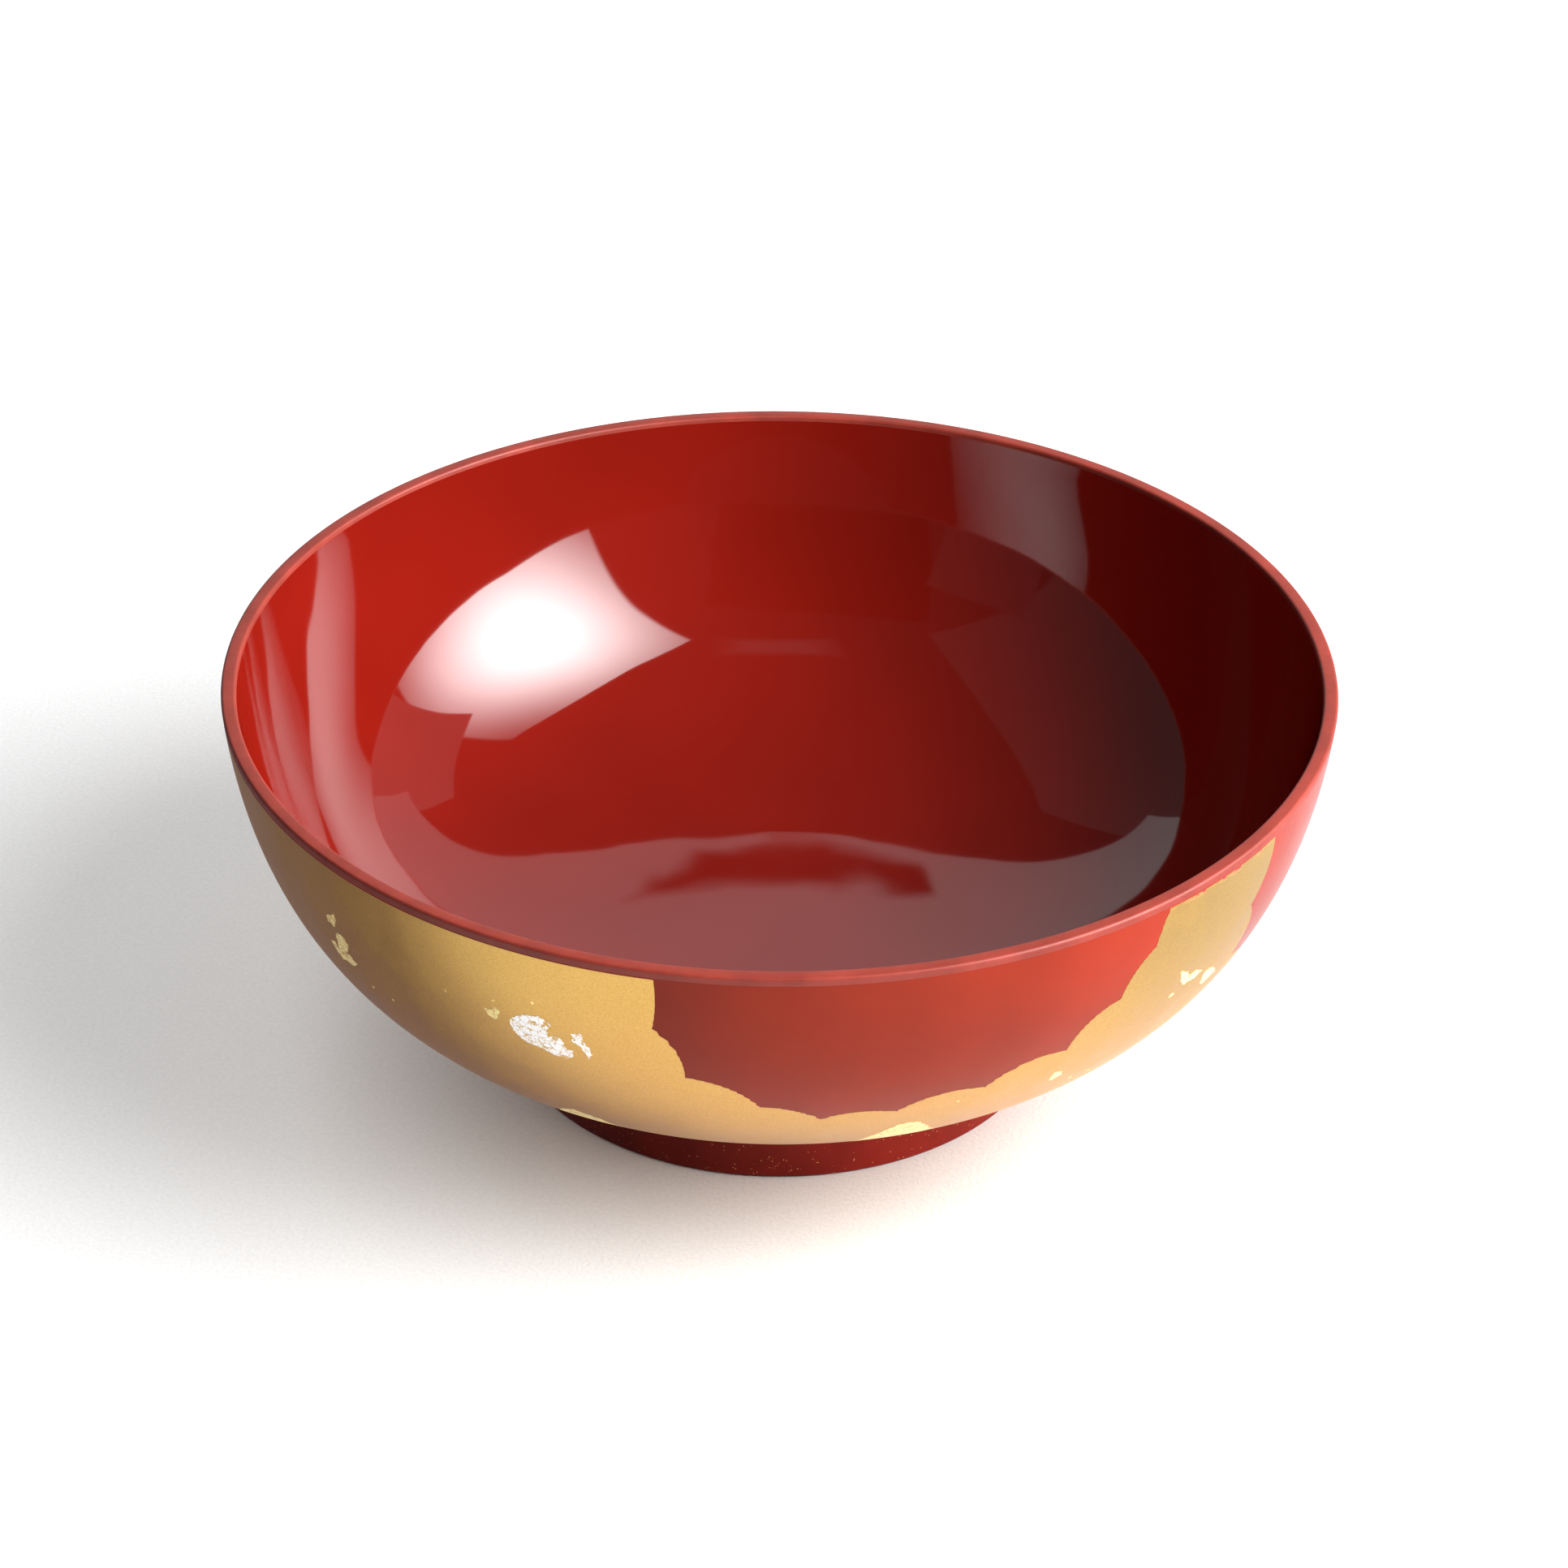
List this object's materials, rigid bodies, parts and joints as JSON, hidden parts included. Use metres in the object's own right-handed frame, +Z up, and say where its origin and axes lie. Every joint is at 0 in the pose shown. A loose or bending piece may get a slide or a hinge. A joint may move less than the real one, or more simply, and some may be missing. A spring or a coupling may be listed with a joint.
{
  "type": "lacquered footed bowl",
  "caption": "Round footed wooden bowl, red lacquer inside and out, with a scalloped gold ground and torn leaf on the outer wall. For serving food; stands on its foot ring.",
  "frame": {"origin": "middle of the circle the foot ring stands on", "axes": "+Z up along the bowl's turning axis; -Y is the front, where the red window hangs from the lip; +X to the right seen from the front"},
  "size_m": [0.18, 0.18, 0.069],
  "materials": {
    "turned_wood": "turned, sealed, hidden under lacquer",
    "gloss_red_lacquer": "mirror polished red lacquer",
    "outer_red_lacquer": "satin red lacquer",
    "lip_lacquer": "satin brown red lacquer",
    "foot_red_lacquer": "dull dark red lacquer with gold dust",
    "gold_ground": "satin gold powder ground, fine grain",
    "pale_gold_leaf": "torn pale gold leaf",
    "silver_leaf": "torn and creased silver leaf"
  },
  "bodies": {
    "root": {"wood_core": "turned_wood", "inner_lacquer": "gloss_red_lacquer", "outer_lacquer": "outer_red_lacquer", "rim_lacquer": "lip_lacquer", "foot_lacquer": "foot_red_lacquer", "base_lacquer": "foot_red_lacquer", "gold_ground": "gold_ground", "silver_leaf_patch": "silver_leaf", "silver_leaf_scrap": "silver_leaf", "gold_leaf_beside_silver": "pale_gold_leaf", "gold_leaf_left_spot": "pale_gold_leaf", "gold_leaf_left_torn": "pale_gold_leaf", "gold_leaf_right_torn": "pale_gold_leaf", "gold_leaf_right_shard": "pale_gold_leaf", "gold_leaf_belly_shard": "pale_gold_leaf", "gold_leaf_foot_front": "pale_gold_leaf", "gold_leaf_foot_left": "pale_gold_leaf", "gold_leaf_back_torn": "pale_gold_leaf", "gold_leaf_back_shard": "pale_gold_leaf"}
  },
  "joints": []
}
